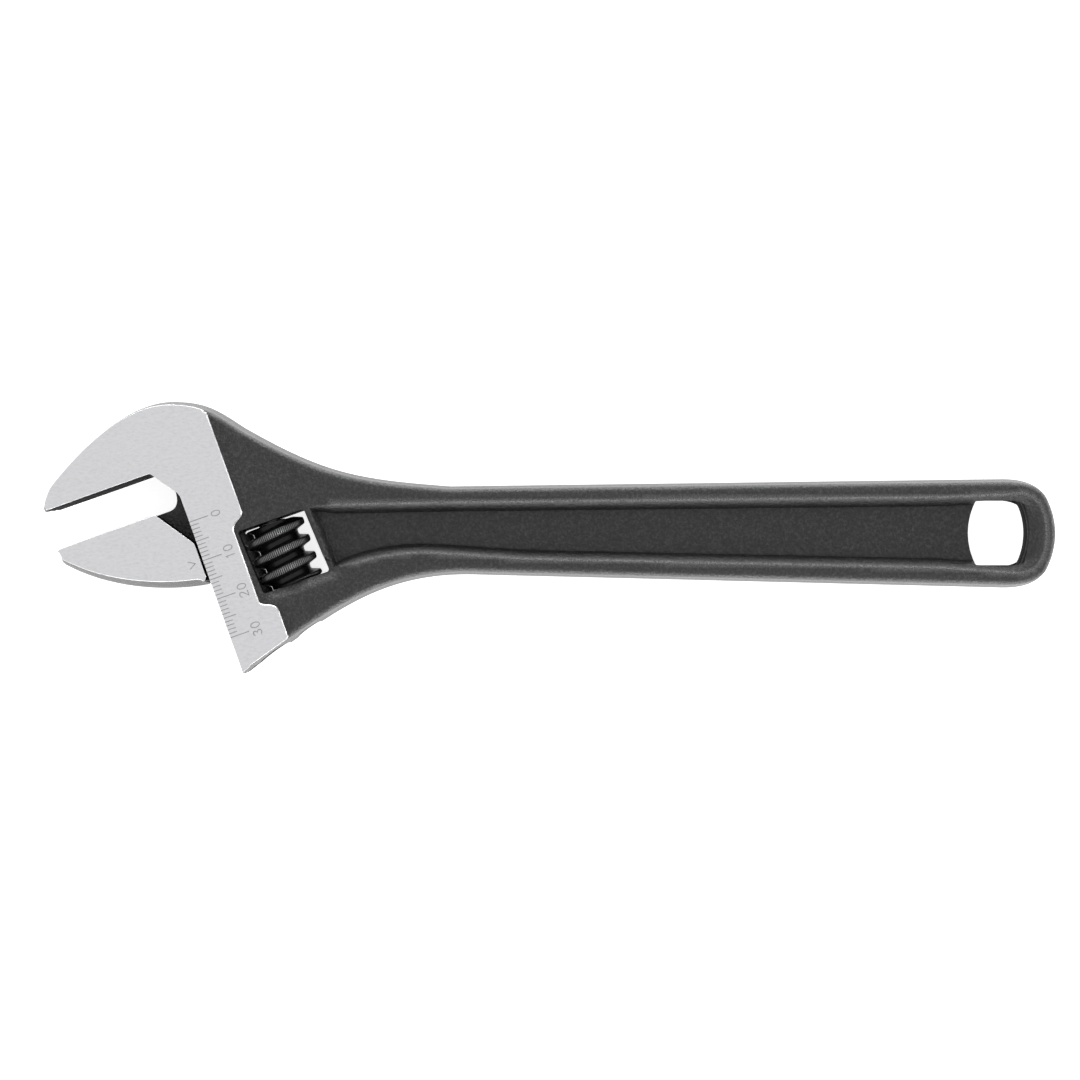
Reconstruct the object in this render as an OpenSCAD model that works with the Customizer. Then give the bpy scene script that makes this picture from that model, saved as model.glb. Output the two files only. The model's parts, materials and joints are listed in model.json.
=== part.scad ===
// Adjustable wrench of the 250 mm size, lying on one face of its head.
// +X runs to the handle's end, +Y to the back of the fixed jaw, +Z up.
// The origin is the middle of the footprint, on the surface it lies on.
// The head has its own frame: x across the neck towards the handle, y along the
// jaw's travel, zero where the fixed jaw's gripping line meets the neck's edge.

/* [Size] */
// Overall length
overall_l = 250; // [245:1:255]
// Thickness of the head between its ground faces
head_t = 15.4; // [15.2:0.1:16.2]
// Thickness of the rough forging, at the handle's rims
forging_t = 12.4; // [11.6:0.1:13.2]

/* [Jaws] */
// Angle of the jaws to the handle
jaw_angle = 19.5; // [18:0.5:21]
// Distance from the neck's edge to the jaws' tips
jaw_reach = 33.9; // [31:0.1:36]
// Distance between the gripping faces
opening = 10; // [0.1:0.1:30]
// Thickness of the jaws at their tips
tip_t = 13.2; // [11.5:0.1:14.4]

/* [Handle] */
// Width where the handle leaves the head
handle_neck_w = 22; // [20:0.5:24]
// Width near the handle's end
handle_end_w = 26.9; // [25:0.1:28]
// Depth of the recess in each side
recess_depth = 3.4; // [2:0.1:4]
// Width of the hanging hole, along the handle
hang_w = 14.6; // [12:0.1:15]
// Height of the hanging hole, across the handle
hang_h = 16; // [13:0.5:17]

/* [Rail] */
// Diameter of the sliding jaw's round rail
rail_d = 9.4; // [9:0.1:9.8]
// Thickness of the web between hook and rail
web_t = 5; // [4.5:0.1:5.4]
// Depth of the rack's teeth
rack_depth = 2.5; // [2.4:0.05:2.55]

/* [Worm] */
// Diameter over the thread
worm_d = 15.2; // [15:0.05:15.2]
// Diameter of the core
worm_core_d = 10.5; // [10:0.1:10.7]
// Thread pitch
worm_pitch = 4.5; // [4.5:0.1:4.6]
// Length of the worm
worm_l = 15.6; // [15:0.1:15.8]
// Diameter of the worm's pin
pin_d = 4.8; // [4.4:0.1:5]
// Wire of the worm's spring
spring_wire = 0.6; // [0.5:0.05:0.7]

/* [Scale] */
// Longest reading of the engraved scale
scale_max = 30; // [20:1:31]
// Depth of the engraved lines
engrave = 0.2; // [0.1:0.05:0.3]

/* [Hidden] */
$fn = 64;
eps = 0.5;
mid_z = head_t / 2;
half_l = overall_l / 2;

// Where the head's frame lies in the wrench's frame
head_pos = [-half_l + 32.1, 17.3];

// Running clearances: the rail in its bore, the web in its slot, the worm on its pin
rail_gap = 0.06;
web_gap = 0.12;
pin_gap = 0.05;

// Neck, in the head's frame
neck_end = -54.2;
relief_x = 5.2;
relief_end = -7.9;
window_x = [10.3, 27.3];
window_y = [-37.05, -20.55];
window_skew = 0.9;

// Rail and slot, in the head's frame
rail_x = 8.2;
rail_top = 8;
rail_bottom = -37;
blind_end = rail_top + 0.5;
web_edge = -1.4;
hook_gap = 0.7;
scale_zero = -14.45;

// Worm: the ridge's middle passes the top of the worm at worm_phase_y when open at rest
worm_x = 18.35;
worm_low = window_y[0] + 0.15;
worm_high = worm_low + worm_l;
rest_opening = 10;
worm_phase_y = -28.55;
crest_w = 1.5;
flank = tan(20);
mesh_gap = 0.28;
ridge_steps = 30;
turn = 360 * (opening - rest_opening) / worm_pitch;
spring_r = 3.2;
spring_seat = [3.8, 3];
spring_turns = 3.5;

// Pin
pin_high = -13;
pin_low = -47.6;
pin_head = [6.8, 3];
slot_w = 0.9;
slot_depth = 1;

// Handle: its middle line and width change evenly from the neck to the end
handle_from = [-17, 1.75];
handle_to = [half_l - 13, 1];
hang_pos = [half_l - 14.4, 1.1];
hang_side_r = 17;

curve_n = 12;

function bezier(a, b, c, d, n = curve_n) =
    [for (i = [0 : n - 1]) let (u = i / n, v = 1 - u)
        v * v * v * a + 3 * v * v * u * b + 3 * v * u * u * c + u * u * u * d];

function head(x, y) = head_pos
    + [x * cos(jaw_angle) - y * sin(jaw_angle), x * sin(jaw_angle) + y * cos(jaw_angle)];

function along(x) = (x - handle_from[0]) / (handle_to[0] - handle_from[0]);

function handle_y(x) = handle_from[1] + along(x) * (handle_to[1] - handle_from[1]);

function half_w(x) = (handle_neck_w + along(x) * (handle_end_w - handle_neck_w)) / 2;

function rim(x, side, inset = 0) = [x, handle_y(x) + side * (half_w(x) - inset)];

// The whole forging's outline, from the tip along the back and round the handle
end_x = half_l - 2.2;
end_top = [end_x, handle_y(end_x) + 9.1];
end_low = [end_x, handle_y(end_x) - 9.1];
body_outline = concat(
    bezier(head(-jaw_reach + 0.9, 0), head(-jaw_reach + 0.3, 0),
        head(-jaw_reach, 0.2), head(-jaw_reach, 0.8), 4),
    bezier(head(-jaw_reach, 0.8), head(-jaw_reach + 0.2, 2.2),
        head(-jaw_reach + 1.4, 3.8), head(-jaw_reach + 2.9, 5.25), 6),
    bezier(head(-jaw_reach + 2.9, 5.25), head(-11.2, 17.9), head(0.1, 17.9), head(7.1, 14.7)),
    bezier(head(7.1, 14.7), head(13.6, 12), head(15.6, 8.9), head(19.9, 3.3), 8),
    bezier(head(19.9, 3.3), head(34.7, -13.8), [-47.9, 14.4], rim(-24.4, 1)),
    bezier(rim(half_l - 13, 1), rim(half_l - 6.5, 1), end_top + [-1.2, 2.4], end_top, 8),
    bezier(end_top, end_top + [3, -6], end_low + [3, 6], end_low, 8),
    bezier(end_low, end_low + [-1.2, -2.4], rim(half_l - 6.5, -1), rim(half_l - 13, -1), 8),
    [rim(half_l - 13, -1)],
    bezier(rim(-17, -1), [-42.5, -8.2], head(24.4, -47.5), head(0, neck_end)),
    [head(0, neck_end), head(0, relief_end), head(-0.6, -6.3), head(-relief_x, 0)]
);

// What is ground bright and stands to the full thickness
ground_area = [[-45, 25], [12.6, 25], [12.8, -16.8], [9.3, -19.3], [9.3, -38.9],
    [13.2, -41.1], [13.2, -60], [-45, -60]];

// Outline of the recess, halfway up its slope
recess_end = half_l - 4.9;
recess_outline = concat(
    [head(29.6, -36.3), head(29, -21.2), rim(-25, 1, 5), rim(half_l - 29, 1, 5.3)],
    bezier(rim(half_l - 14, 1, 4.9), rim(half_l - 8, 1, 4.9),
        [recess_end, 8.2], [recess_end, 1], 8),
    bezier([recess_end, 1], [recess_end, -6.2], rim(half_l - 8, -1, 4.9),
        rim(half_l - 14, -1, 4.9), 8),
    [rim(half_l - 14, -1, 4.9), rim(half_l - 29, -1, 5.6)],
    bezier(rim(-2, -1, 5.2), rim(-12, -1, 5.3), rim(-20, -1, 5.9), rim(-28, -1, 6.1), 6),
    bezier(rim(-28, -1, 6.1), rim(-38, -1, 6.4), head(38, -36.4), head(29.6, -36.3), 8)
);

// Hook of the sliding jaw, measured from its gripping face: the ground face, then
// the wider outline at the parting line
hook_side = -hook_gap;
hook_face = concat(
    [[-jaw_reach + 0.1, -0.4], [-jaw_reach + 0.6, 0], [-7.6, 0], [hook_side, -9.9],
        [hook_side, -17.6]],
    bezier([-1.9, -18.4], [-10.5, -17.1], [-jaw_reach + 10.9, -12.4], [-jaw_reach + 2.2, -3.6]),
    bezier([-jaw_reach + 2.2, -3.6], [-jaw_reach + 1.6, -3],
        [-jaw_reach + 0.3, -2.6], [-jaw_reach + 0.1, -1.4], 4)
);
hook_wide = concat(
    [[-jaw_reach + 0.1, -0.4], [-jaw_reach + 0.6, 0], [-7.6, 0], [hook_side, -9.9],
        [hook_side, -19.6]],
    bezier([-2.2, -20], [-11.3, -18.5], [-jaw_reach + 9.9, -13.5], [-jaw_reach + 1.3, -4.5]),
    bezier([-jaw_reach + 1.3, -4.5], [-jaw_reach + 0.5, -3.7],
        [-jaw_reach, -3.2], [-jaw_reach, -2.2], 4)
);

// Web between hook and rail. The same edge with a gap makes the slot's upper end.
function web_outline(gap, low) = concat(
    [[rail_x, rail_top + (gap > 0 ? blind_end - rail_top : 0)],
        [web_edge - gap, rail_top + (gap > 0 ? blind_end - rail_top : 0)]],
    bezier([web_edge - gap, 3.8 + gap], [-1.5 - gap, 1.6 + gap], [-2.4, gap], [-4.4, gap], 8),
    [[-8, gap], [-12, -4], [-12, low], [rail_x, low]]
);

module in_head() {
    translate([head_pos[0], head_pos[1], 0])
        rotate(jaw_angle)
            children();
}

// A plate of an outline, centred on the middle plane
module plate(points, t) {
    translate([0, 0, mid_z - t / 2])
        linear_extrude(t)
            polygon(points);
}

// A bar along the head's y, between two heights
module bar(x, low, high, d) {
    translate([x, low, mid_z])
        rotate([-90, 0, 0])
            cylinder(d = d, h = high - low);
}

// What a pair of jaw faces loses towards its tips, both sides
module tip_wedges() {
    start = -jaw_reach + 17;
    past = -jaw_reach - 3;
    loss = (head_t - tip_t) / 2 * (start - past) / (start + jaw_reach);
    for (side = [0, 1])
        translate([0, 30, side * head_t])
            mirror([0, 0, side])
                rotate([90, 0, 0])
                    linear_extrude(60)
                        polygon([[start, 0], [past, loss], [past, -1], [start, -1]]);
}

// One line per millimetre on the neck, every fifth longer and every tenth longest
module scale_lines() {
    line_w = 0.18;
    for (i = [0 : scale_max]) {
        long = i % 10 == 0 ? 5 : (i % 5 == 0 ? 3.6 : 2.4);
        translate([-eps, scale_zero - i - line_w / 2, head_t - engrave])
            cube([long + eps, line_w, 1]);
    }
}

module hang_hole() {
    reach = hang_side_r - hang_w / 2;
    translate([hang_pos[0], hang_pos[1], -1])
        linear_extrude(head_t + 2)
            intersection() {
                square([hang_w + 1, hang_h], center = true);
                translate([reach, 0])
                    circle(r = hang_side_r);
                translate([-reach, 0])
                    circle(r = hang_side_r);
            }
}

module window() {
    translate([0, 0, -1])
        linear_extrude(head_t + 2)
            polygon([[window_x[0], window_y[1]], [window_x[1], window_y[1]],
                [window_x[1] + window_skew, window_y[0]], [window_x[0], window_y[0]]]);
}

// Grooves of the rack, tilted to the worm's lead and as wide as its ridge plus a gap
module rack_grooves() {
    bottom = rail_x + rail_d / 2 - rack_depth;
    outer = rail_x + rail_d / 2 + 1;
    worm_r = worm_d / 2;
    lead = atan(worm_pitch / (PI * (worm_d + worm_core_d) / 2));
    half_out = crest_w / 2 + mesh_gap + (worm_r - (worm_x - outer)) * flank;
    half_in = crest_w / 2 + mesh_gap - 0.1;
    ridge_y = worm_phase_y - worm_pitch / 4 + rest_opening;
    for (k = [-5 : 6])
        translate([0, ridge_y + k * worm_pitch, mid_z])
            rotate([-lead, 0, 0])
                linear_extrude(2 * rail_d, center = true)
                    polygon([[bottom, -half_in], [bottom, half_in],
                        [worm_x - worm_r, half_in + 0.1], [outer, half_out],
                        [outer, -half_out], [worm_x - worm_r, -half_in - 0.1]]);
}

// The worm's ridge: a four-sided profile carried along a right-hand helix about z
module worm_ridge(low, high) {
    root_r = worm_core_d / 2 - 0.4;
    crest_r = worm_d / 2;
    half_crest = crest_w / 2;
    half_root = half_crest + (crest_r - root_r) * flank;
    profile = [[root_r, -half_root], [crest_r, -half_crest],
        [crest_r, half_crest], [root_r, half_root]];
    first = floor((low / worm_pitch - 1) * ridge_steps);
    last = ceil((high / worm_pitch + 1) * ridge_steps);
    rings = last - first;
    points = [for (i = [first : last]) for (p = profile)
        let (a = 360 * i / ridge_steps)
        [p[0] * cos(a), p[0] * sin(a), p[1] + worm_pitch * i / ridge_steps]];
    sides = [for (i = [0 : rings - 1]) for (j = [0 : 3])
        let (k = (j + 1) % 4)
        [4 * i + j, 4 * i + k, 4 * i + 4 + k, 4 * i + 4 + j]];
    polyhedron(points, concat([[0, 3, 2, 1]], sides, [[for (j = [0 : 3]) 4 * rings + j]]));
}

module body() {
    color("#454648")
        difference() {
            union() {
                plate(body_outline, forging_t);
                intersection() {
                    plate(body_outline, head_t);
                    in_head()
                        plate(ground_area, head_t);
                }
            }
            for (z = [mid_z - forging_t / 2 - 1, mid_z + forging_t / 2 - recess_depth])
                translate([0, 0, z])
                    linear_extrude(recess_depth + 1)
                        polygon(recess_outline);
            hang_hole();
            in_head() {
                window();
                tip_wedges();
                scale_lines();
                bar(rail_x, neck_end - 10, blind_end, rail_d + 2 * rail_gap);
                plate(web_outline(web_gap, neck_end - 10), web_t + 2 * web_gap);
                bar(worm_x, neck_end, pin_high + 0.5, pin_d);
                bar(worm_x, neck_end, pin_low + pin_head[1], pin_head[0]);
            }
        }
}

module sliding_jaw() {
    color("#b9babb")
        in_head()
            translate([0, -opening, 0])
                difference() {
                    union() {
                        plate(hook_face, head_t);
                        plate(hook_wide, head_t / 2);
                        plate(web_outline(0, -18), web_t);
                        difference() {
                            bar(rail_x, rail_bottom, rail_top, rail_d);
                            rack_grooves();
                        }
                    }
                    tip_wedges();
                }
}

module worm() {
    phase = worm_phase_y - worm_low;
    color("#8d8f91")
        in_head()
            translate([worm_x, worm_low, mid_z])
                rotate([-90, 0, 0])
                    difference() {
                        union() {
                            cylinder(d = worm_core_d, h = worm_l);
                            intersection() {
                                rotate([0, 0, turn - 90])
                                    translate([0, 0, phase])
                                        worm_ridge(-phase, worm_l - phase);
                                cylinder(d = worm_d + 2, h = worm_l);
                            }
                        }
                        translate([0, 0, -1])
                            cylinder(d = pin_d + 2 * pin_gap, h = worm_l + 2);
                        translate([0, 0, worm_l - spring_seat[1]])
                            cylinder(r = spring_seat[0], h = spring_seat[1] + 1);
                    }
}

module worm_pin() {
    color("#9a9c9e")
        in_head()
            difference() {
                union() {
                    bar(worm_x, pin_low, pin_high, pin_d);
                    bar(worm_x, pin_low, pin_low + pin_head[1], pin_head[0]);
                }
                translate([worm_x - slot_w / 2, pin_low - 1, -1])
                    cube([slot_w, slot_depth + 1, head_t + 2]);
            }
}

// Coil of round wire between the worm's counterbore and the window's upper wall
module worm_spring() {
    sides = 8;
    steps = 16;
    r = spring_wire / 2;
    low = worm_high - spring_seat[1] + r + 0.1;
    high = window_y[1] - r - 0.05;
    rings = spring_turns * steps;
    points = [for (i = [0 : rings]) for (j = [0 : sides - 1])
        let (a = 360 * i / steps, b = 360 * j / sides, d = spring_r + r * cos(b))
        [d * cos(a), d * sin(a), low + (high - low) * i / rings + r * sin(b)]];
    walls = [for (i = [0 : rings - 1]) for (j = [0 : sides - 1])
        let (k = (j + 1) % sides)
        [sides * i + j, sides * i + k, sides * (i + 1) + k, sides * (i + 1) + j]];
    color("#c8c8c6")
        in_head()
            translate([worm_x, 0, mid_z])
                rotate([-90, 0, 0])
                    polyhedron(points, concat([[for (j = [0 : sides - 1]) sides - 1 - j]],
                        walls, [[for (j = [0 : sides - 1]) sides * rings + j]]));
}

body();
sliding_jaw();
worm();
worm_pin();
worm_spring();
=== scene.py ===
import json
import math

import bmesh
import bpy
import numpy as np
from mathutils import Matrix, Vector, geometry


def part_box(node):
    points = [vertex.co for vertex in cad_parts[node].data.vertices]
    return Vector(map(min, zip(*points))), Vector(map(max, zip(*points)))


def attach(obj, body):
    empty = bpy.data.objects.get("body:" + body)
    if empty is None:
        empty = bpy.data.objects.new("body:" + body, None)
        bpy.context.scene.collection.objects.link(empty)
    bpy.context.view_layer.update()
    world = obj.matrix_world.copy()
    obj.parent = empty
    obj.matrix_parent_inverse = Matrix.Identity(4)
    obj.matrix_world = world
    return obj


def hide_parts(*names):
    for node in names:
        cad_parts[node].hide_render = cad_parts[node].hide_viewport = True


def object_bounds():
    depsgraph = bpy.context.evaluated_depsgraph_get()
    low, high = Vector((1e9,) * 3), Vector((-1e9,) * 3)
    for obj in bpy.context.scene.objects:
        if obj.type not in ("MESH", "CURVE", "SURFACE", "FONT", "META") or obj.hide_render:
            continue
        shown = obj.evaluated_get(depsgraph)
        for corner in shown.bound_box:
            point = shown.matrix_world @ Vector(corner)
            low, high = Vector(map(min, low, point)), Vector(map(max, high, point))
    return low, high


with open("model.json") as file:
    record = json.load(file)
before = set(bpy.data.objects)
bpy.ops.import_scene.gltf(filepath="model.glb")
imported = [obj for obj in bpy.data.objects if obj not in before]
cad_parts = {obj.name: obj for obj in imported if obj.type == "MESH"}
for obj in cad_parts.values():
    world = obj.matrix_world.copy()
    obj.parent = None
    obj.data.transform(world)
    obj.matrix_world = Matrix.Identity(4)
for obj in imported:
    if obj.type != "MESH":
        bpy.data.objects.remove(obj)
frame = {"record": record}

# Adjustable wrench. Shapes are worked out in millimetres, heights from the middle
# plane of the head, and every mesh is written in metres in the frame's own axes.
# The head has axes of its own, in which most of it is drawn: x across the neck
# towards the handle, y along the jaw's travel. head() takes them to the wrench's.

cad_box = [list(map(float, corner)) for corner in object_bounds()]

# ---------------------------------------------------------------- places and sizes

MM = 0.001
GRIP_MIDDLE = 18.0
HOLE_TO_END = 14.4

record = frame["record"]
mounts = {m["name"]: m for m in record["mounts"]}
joints = {j["name"]: j for j in record["behaviour"]["joints"]}
couplings = {c["joint"]: c for c in record["behaviour"]["couplings"]}

slide_axis = joints["jaw_slide"]["axis"]
jaw_angle = math.atan2(slide_axis[0], -slide_axis[1])
across = np.array([math.cos(jaw_angle), math.sin(jaw_angle)])
back = np.array([-math.sin(jaw_angle), math.cos(jaw_angle)])

grip = np.array(mounts["fixed_jaw_face"]["pos_m"]) / MM
head_pos = grip[:2] + GRIP_MIDDLE * across
mid_z = grip[2]
half_t = mid_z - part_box("body")[0][2] / MM
hole_pos = np.array(mounts["hanging_hole"]["pos_m"])[:2] / MM
half_l = hole_pos[0] + HOLE_TO_END
opening = float(np.linalg.norm(np.array(mounts["sliding_jaw_face"]["pos_m"]) / MM - grip))
worm_pos = np.array(joints["worm_spin"]["pos_m"]) / MM
worm_x = float((worm_pos[:2] - head_pos) @ across)
pitch = abs(2 * math.pi / couplings["worm_spin"]["ratio"]) / MM

# Jaws and neck, in the head's axes
JAW_REACH = 33.9
TIP_HALF_T = 6.6
TIP_LOSS_FROM = -15.0
NECK_END = -54.2
RELIEF_X = 5.2
RELIEF_END = -7.9
HOOK_SIDE = -0.6

# Window
WINDOW_X = (10.3, 27.3)
WINDOW_Y = (-37.05, -20.55)
WINDOW_SKEW = 0.9
WINDOW_CORNER_R = 0.7
WINDOW_FLARE = 0.22

# Rail with its rack, web, and the bore and slot that they run in
RAIL_X = 8.2
RAIL_TOP = 8.0
RAIL_BOTTOM = -37.0
RAIL_R = 4.7
RAIL_CHAMFER = 0.5
RAIL_BORE_R = 4.76
RACK_DEPTH = 2.5
BLIND_END = 8.5
WEB_EDGE = -1.4
WEB_LOW = -16
WEB_HALF_T = 2.5
SLOT_HALF_T = 2.62
SLOT_GAP = 0.12
PAST_NECK = NECK_END - 12

# Worm, its pin and its spring's seat
WORM_R = 7.6
WORM_CORE_R = 5.32
WORM_LOW = WINDOW_Y[0] + 0.15
WORM_L = 15.6
CREST_PHASE_Y = -28.55
SEAT_R = 3.8
SEAT_DEPTH = 3.0
PIN_R = 2.4
PIN_HIGH = -13.0
PIN_LOW = -47.6
PIN_HEAD_R = 3.4
PIN_HEAD_L = 3.0
PIN_GAP = 0.02
PIN_SLOT_HALF_W = 0.45
PIN_SLOT_DEPTH = 1.0

# Hanging hole
HOLE_W = 14.6
HOLE_H = 16.0
HOLE_SIDE_R = 17.0
HOLE_FLARE = 0.35

# Handle: half its thickness at the rims and at the recess's floor, its widths, and
# the middle line's two ends
RIM_T = 6.2
FLOOR_T = 2.8
NECK_HALF_W = 11.0
END_HALF_W = 13.45
HANDLE_FROM = (-17.0, 1.75)
HANDLE_TO = (half_l - 13, 1.0)
END_BELOW = 2.2
END_HALF_H = 9.1

# Usual distance between an outline's points
STEP = 0.8

# Slopes off the vertical, in degrees
DRAFT = 8.5
TIP_DRAFT = 11.5
HOOK_DRAFT = 12.2
MACHINED = 0.0


def head(x, y):
    """A point of the head's axes, in the wrench's."""
    return head_pos + x * across + y * back


def to_head(points):
    """Points of the wrench's axes, in the head's."""
    rel = np.asarray(points) - head_pos
    return np.stack([rel @ across, rel @ back], axis=-1)


def bezier(a, b, c, d, step=STEP):
    """Points of a cubic curve without its last one, about step apart."""
    a, b, c, d = (np.asarray(p, float) for p in (a, b, c, d))
    length = (np.linalg.norm(d - a) + sum(map(np.linalg.norm, (b - a, c - b, d - c)))) / 2
    n = max(3, round(length / step))
    u = (np.arange(n) / n)[:, None]
    v = 1 - u
    return v ** 3 * a + 3 * v * v * u * b + 3 * v * u * u * c + u ** 3 * d


def line(a, b, step=STEP):
    """Points of a straight stretch without its last one, about step apart."""
    a, b = np.asarray(a, float), np.asarray(b, float)
    n = max(1, round(np.linalg.norm(b - a) / step))
    return a + (np.arange(n) / n)[:, None] * (b - a)


def polyline(*corners):
    """Points of straight stretches from corner to corner, without the last one."""
    return np.vstack([line(p, q) for p, q in zip(corners, corners[1:])])


def rim(x, side, inset=0.0):
    """A point on the handle's edge at x, on the upper or lower side."""
    share = (x - HANDLE_FROM[0]) / (HANDLE_TO[0] - HANDLE_FROM[0])
    y = HANDLE_FROM[1] + share * (HANDLE_TO[1] - HANDLE_FROM[1])
    half_w = NECK_HALF_W + share * (END_HALF_W - NECK_HALF_W)
    return np.array([x, y + side * (half_w - inset)])


def smooth(u):
    """0 to 1 with flat ends."""
    u = np.clip(u, 0.0, 1.0)
    return u * u * (3 - 2 * u)


def edge_distance(points, outline):
    """Distance of each point to a closed outline, above 0 inside it."""
    a = np.asarray(outline)
    b = np.roll(a, -1, axis=0)
    ab = b - a
    out = np.empty(len(points))
    for start in range(0, len(points), 2000):
        p = points[start:start + 2000, None, :]
        u = np.clip(((p - a) * ab).sum(2) / np.maximum((ab * ab).sum(1), 1e-12), 0, 1)
        gap = np.linalg.norm(p - a - u[..., None] * ab, axis=2).min(1)
        above = (a[:, 1] > p[..., 1]) != (b[:, 1] > p[..., 1])
        rise = np.where(ab[:, 1] == 0, 1, ab[:, 1])
        left = p[..., 0] < a[:, 0] + (p[..., 1] - a[:, 1]) / rise * ab[:, 0]
        inside = (above & left).sum(1) % 2 == 1
        out[start:start + 2000] = np.where(inside, gap, -gap)
    return out


def value_noise(points, cell, seed):
    """Smooth random heights from -1 to 1, about one bump per cell."""
    grid = np.random.default_rng(seed).uniform(-1, 1, (257, 257))
    q = np.asarray(points) / cell + 1000.0
    i = np.floor(q).astype(int)
    f = smooth(q - i)
    x0, y0, x1, y1 = i[:, 0] % 257, i[:, 1] % 257, (i[:, 0] + 1) % 257, (i[:, 1] + 1) % 257
    low = grid[x0, y0] * (1 - f[:, 0]) + grid[x1, y0] * f[:, 0]
    high = grid[x0, y1] * (1 - f[:, 0]) + grid[x1, y1] * f[:, 0]
    return low * (1 - f[:, 1]) + high * f[:, 1]


# ---------------------------------------------------------------- mesh tools

MERGE_M = 1e-6


def new_object(name, verts_mm, faces):
    """A mesh object from vertices in millimetres, in the wrench's axes."""
    mesh = bpy.data.meshes.new(name)
    mesh.from_pydata((np.asarray(verts_mm) * MM).tolist(), [], faces)
    mesh.validate()
    obj = bpy.data.objects.new(name, mesh)
    bpy.context.scene.collection.objects.link(obj)
    bm = bmesh.new()
    bm.from_mesh(mesh)
    bmesh.ops.remove_doubles(bm, verts=bm.verts, dist=MERGE_M)
    bmesh.ops.recalc_face_normals(bm, faces=bm.faces)
    bm.to_mesh(mesh)
    bm.free()
    return obj


def boolean(obj, cutter, operation="DIFFERENCE"):
    """Cuts or joins another closed mesh and deletes it."""
    mod = obj.modifiers.new("boolean", "BOOLEAN")
    mod.object = cutter
    mod.operation = operation
    mod.solver = "MANIFOLD"
    bpy.context.view_layer.update()
    result = bpy.data.meshes.new_from_object(
        obj.evaluated_get(bpy.context.evaluated_depsgraph_get()))
    obj.modifiers.clear()
    old = obj.data
    obj.data = result
    bpy.data.meshes.remove(old)
    bpy.data.meshes.remove(cutter.data)
    return obj


def shade(obj, angle_deg=32.0):
    """Smooth shading that keeps edges sharper than the angle."""
    limit = math.radians(angle_deg)
    bm = bmesh.new()
    bm.from_mesh(obj.data)
    bmesh.ops.dissolve_degenerate(bm, edges=bm.edges, dist=1e-7)
    for face in bm.faces:
        face.smooth = True
    for edge in bm.edges:
        if len(edge.link_faces) == 2:
            edge.smooth = edge.calc_face_angle(0.0) < limit
    bm.to_mesh(obj.data)
    bm.free()


def ring_quads(rows, n, base=0):
    """Quads between rows of n vertices, each a closed ring, from vertex base on."""
    return [[base + r * n + i, base + r * n + (i + 1) % n,
             base + (r + 1) * n + (i + 1) % n, base + (r + 1) * n + i]
            for r in range(rows - 1) for i in range(n)]


def tube(name, verts, n):
    """A closed body from rings of n vertices, with a face on its first and last ring."""
    ends = [list(range(n)), list(range(len(verts) - n, len(verts)))]
    return new_object(name, verts, ends + ring_quads(len(verts) // n, n))


def prism(name, outline, low, high, to_wrench=head):
    """A closed prism of an outline between two heights above the middle plane."""
    verts = [(*to_wrench(x, y), mid_z + z) for z in (low, high) for x, y in outline]
    return tube(name, verts, len(outline))


def lathe(name, profile, x, y=0.0, segments=96):
    """A body turned about an axis along the head's y, from (radius, y) points."""
    verts, faces = [], []
    rows = len(profile)
    for k in range(segments):
        turn = 2 * math.pi * k / segments
        for r, along in profile:
            p = head(x + r * math.cos(turn), y + along)
            verts.append((p[0], p[1], mid_z + r * math.sin(turn)))
    for k in range(segments):
        n = (k + 1) % segments
        for j in range(rows - 1):
            faces.append([k * rows + j, k * rows + j + 1, n * rows + j + 1, n * rows + j])
    for j in (0, rows - 1):
        if profile[j][0] > 0:
            faces.append([k * rows + j for k in range(segments)])
    return new_object(name, verts, faces)


def inset_loop(points, depth):
    """A clockwise outline moved inwards, each edge by its own depth."""
    edge = np.roll(points, -1, axis=0) - points
    normal = np.stack([edge[:, 1], -edge[:, 0]], axis=1)
    normal /= np.linalg.norm(normal, axis=1)[:, None]
    depth = np.broadcast_to(np.asarray(depth, float), (len(points),))
    n1, n2 = np.roll(normal, 1, axis=0), normal
    d1, d2 = np.roll(depth, 1), depth
    det = n1[:, 0] * n2[:, 1] - n1[:, 1] * n2[:, 0]
    mean = (n1 + n2) / np.linalg.norm(n1 + n2, axis=1)[:, None]
    safe = np.where(np.abs(det) < 0.2, 1.0, det)
    corner = np.stack([(d1 * n2[:, 1] - d2 * n1[:, 1]) / safe,
                       (n1[:, 0] * d2 - n2[:, 0] * d1) / safe], axis=1)
    straight = mean * ((d1 + d2) / 2)[:, None]
    return points + np.where(np.abs(det)[:, None] < 0.2, straight, corner)


def wall_row(outline, depth, height):
    """An inset loop at its heights. Edges that the inset turns round are closed up."""
    ahead = np.roll(outline, -1, axis=0) - outline
    loop = np.column_stack([inset_loop(outline, depth), height])
    for _ in range(40):
        turned = ((np.roll(loop, -1, axis=0) - loop)[:, :2] * ahead).sum(1) < -1e-9
        if not turned.any():
            break
        for i in np.where(turned)[0]:
            j = (i + 1) % len(loop)
            loop[i] = loop[j] = (loop[i] + loop[j]) / 2
    return loop


def runs_of(flags):
    """Stretches of a closed loop where the flags are true, as lists of indexes."""
    n = len(flags)
    if flags.all():
        return []
    first = int(np.where(~flags)[0][0])
    runs, run = [], []
    for k in range(1, n + 1):
        i = (first + k) % n
        if flags[i]:
            run.append(i)
        elif run:
            runs.append(run)
            run = []
    return runs


def leave_point(ring, depth, index, step):
    """Where a ring that is followed from an inside point leaves the area."""
    n = len(ring)
    while depth[(index + step) % n] > 0:
        index = (index + step) % n
    beyond = (index + step) % n
    share = depth[index] / (depth[index] - depth[beyond])
    return ring[index] + share * (ring[beyond] - ring[index])


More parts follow.
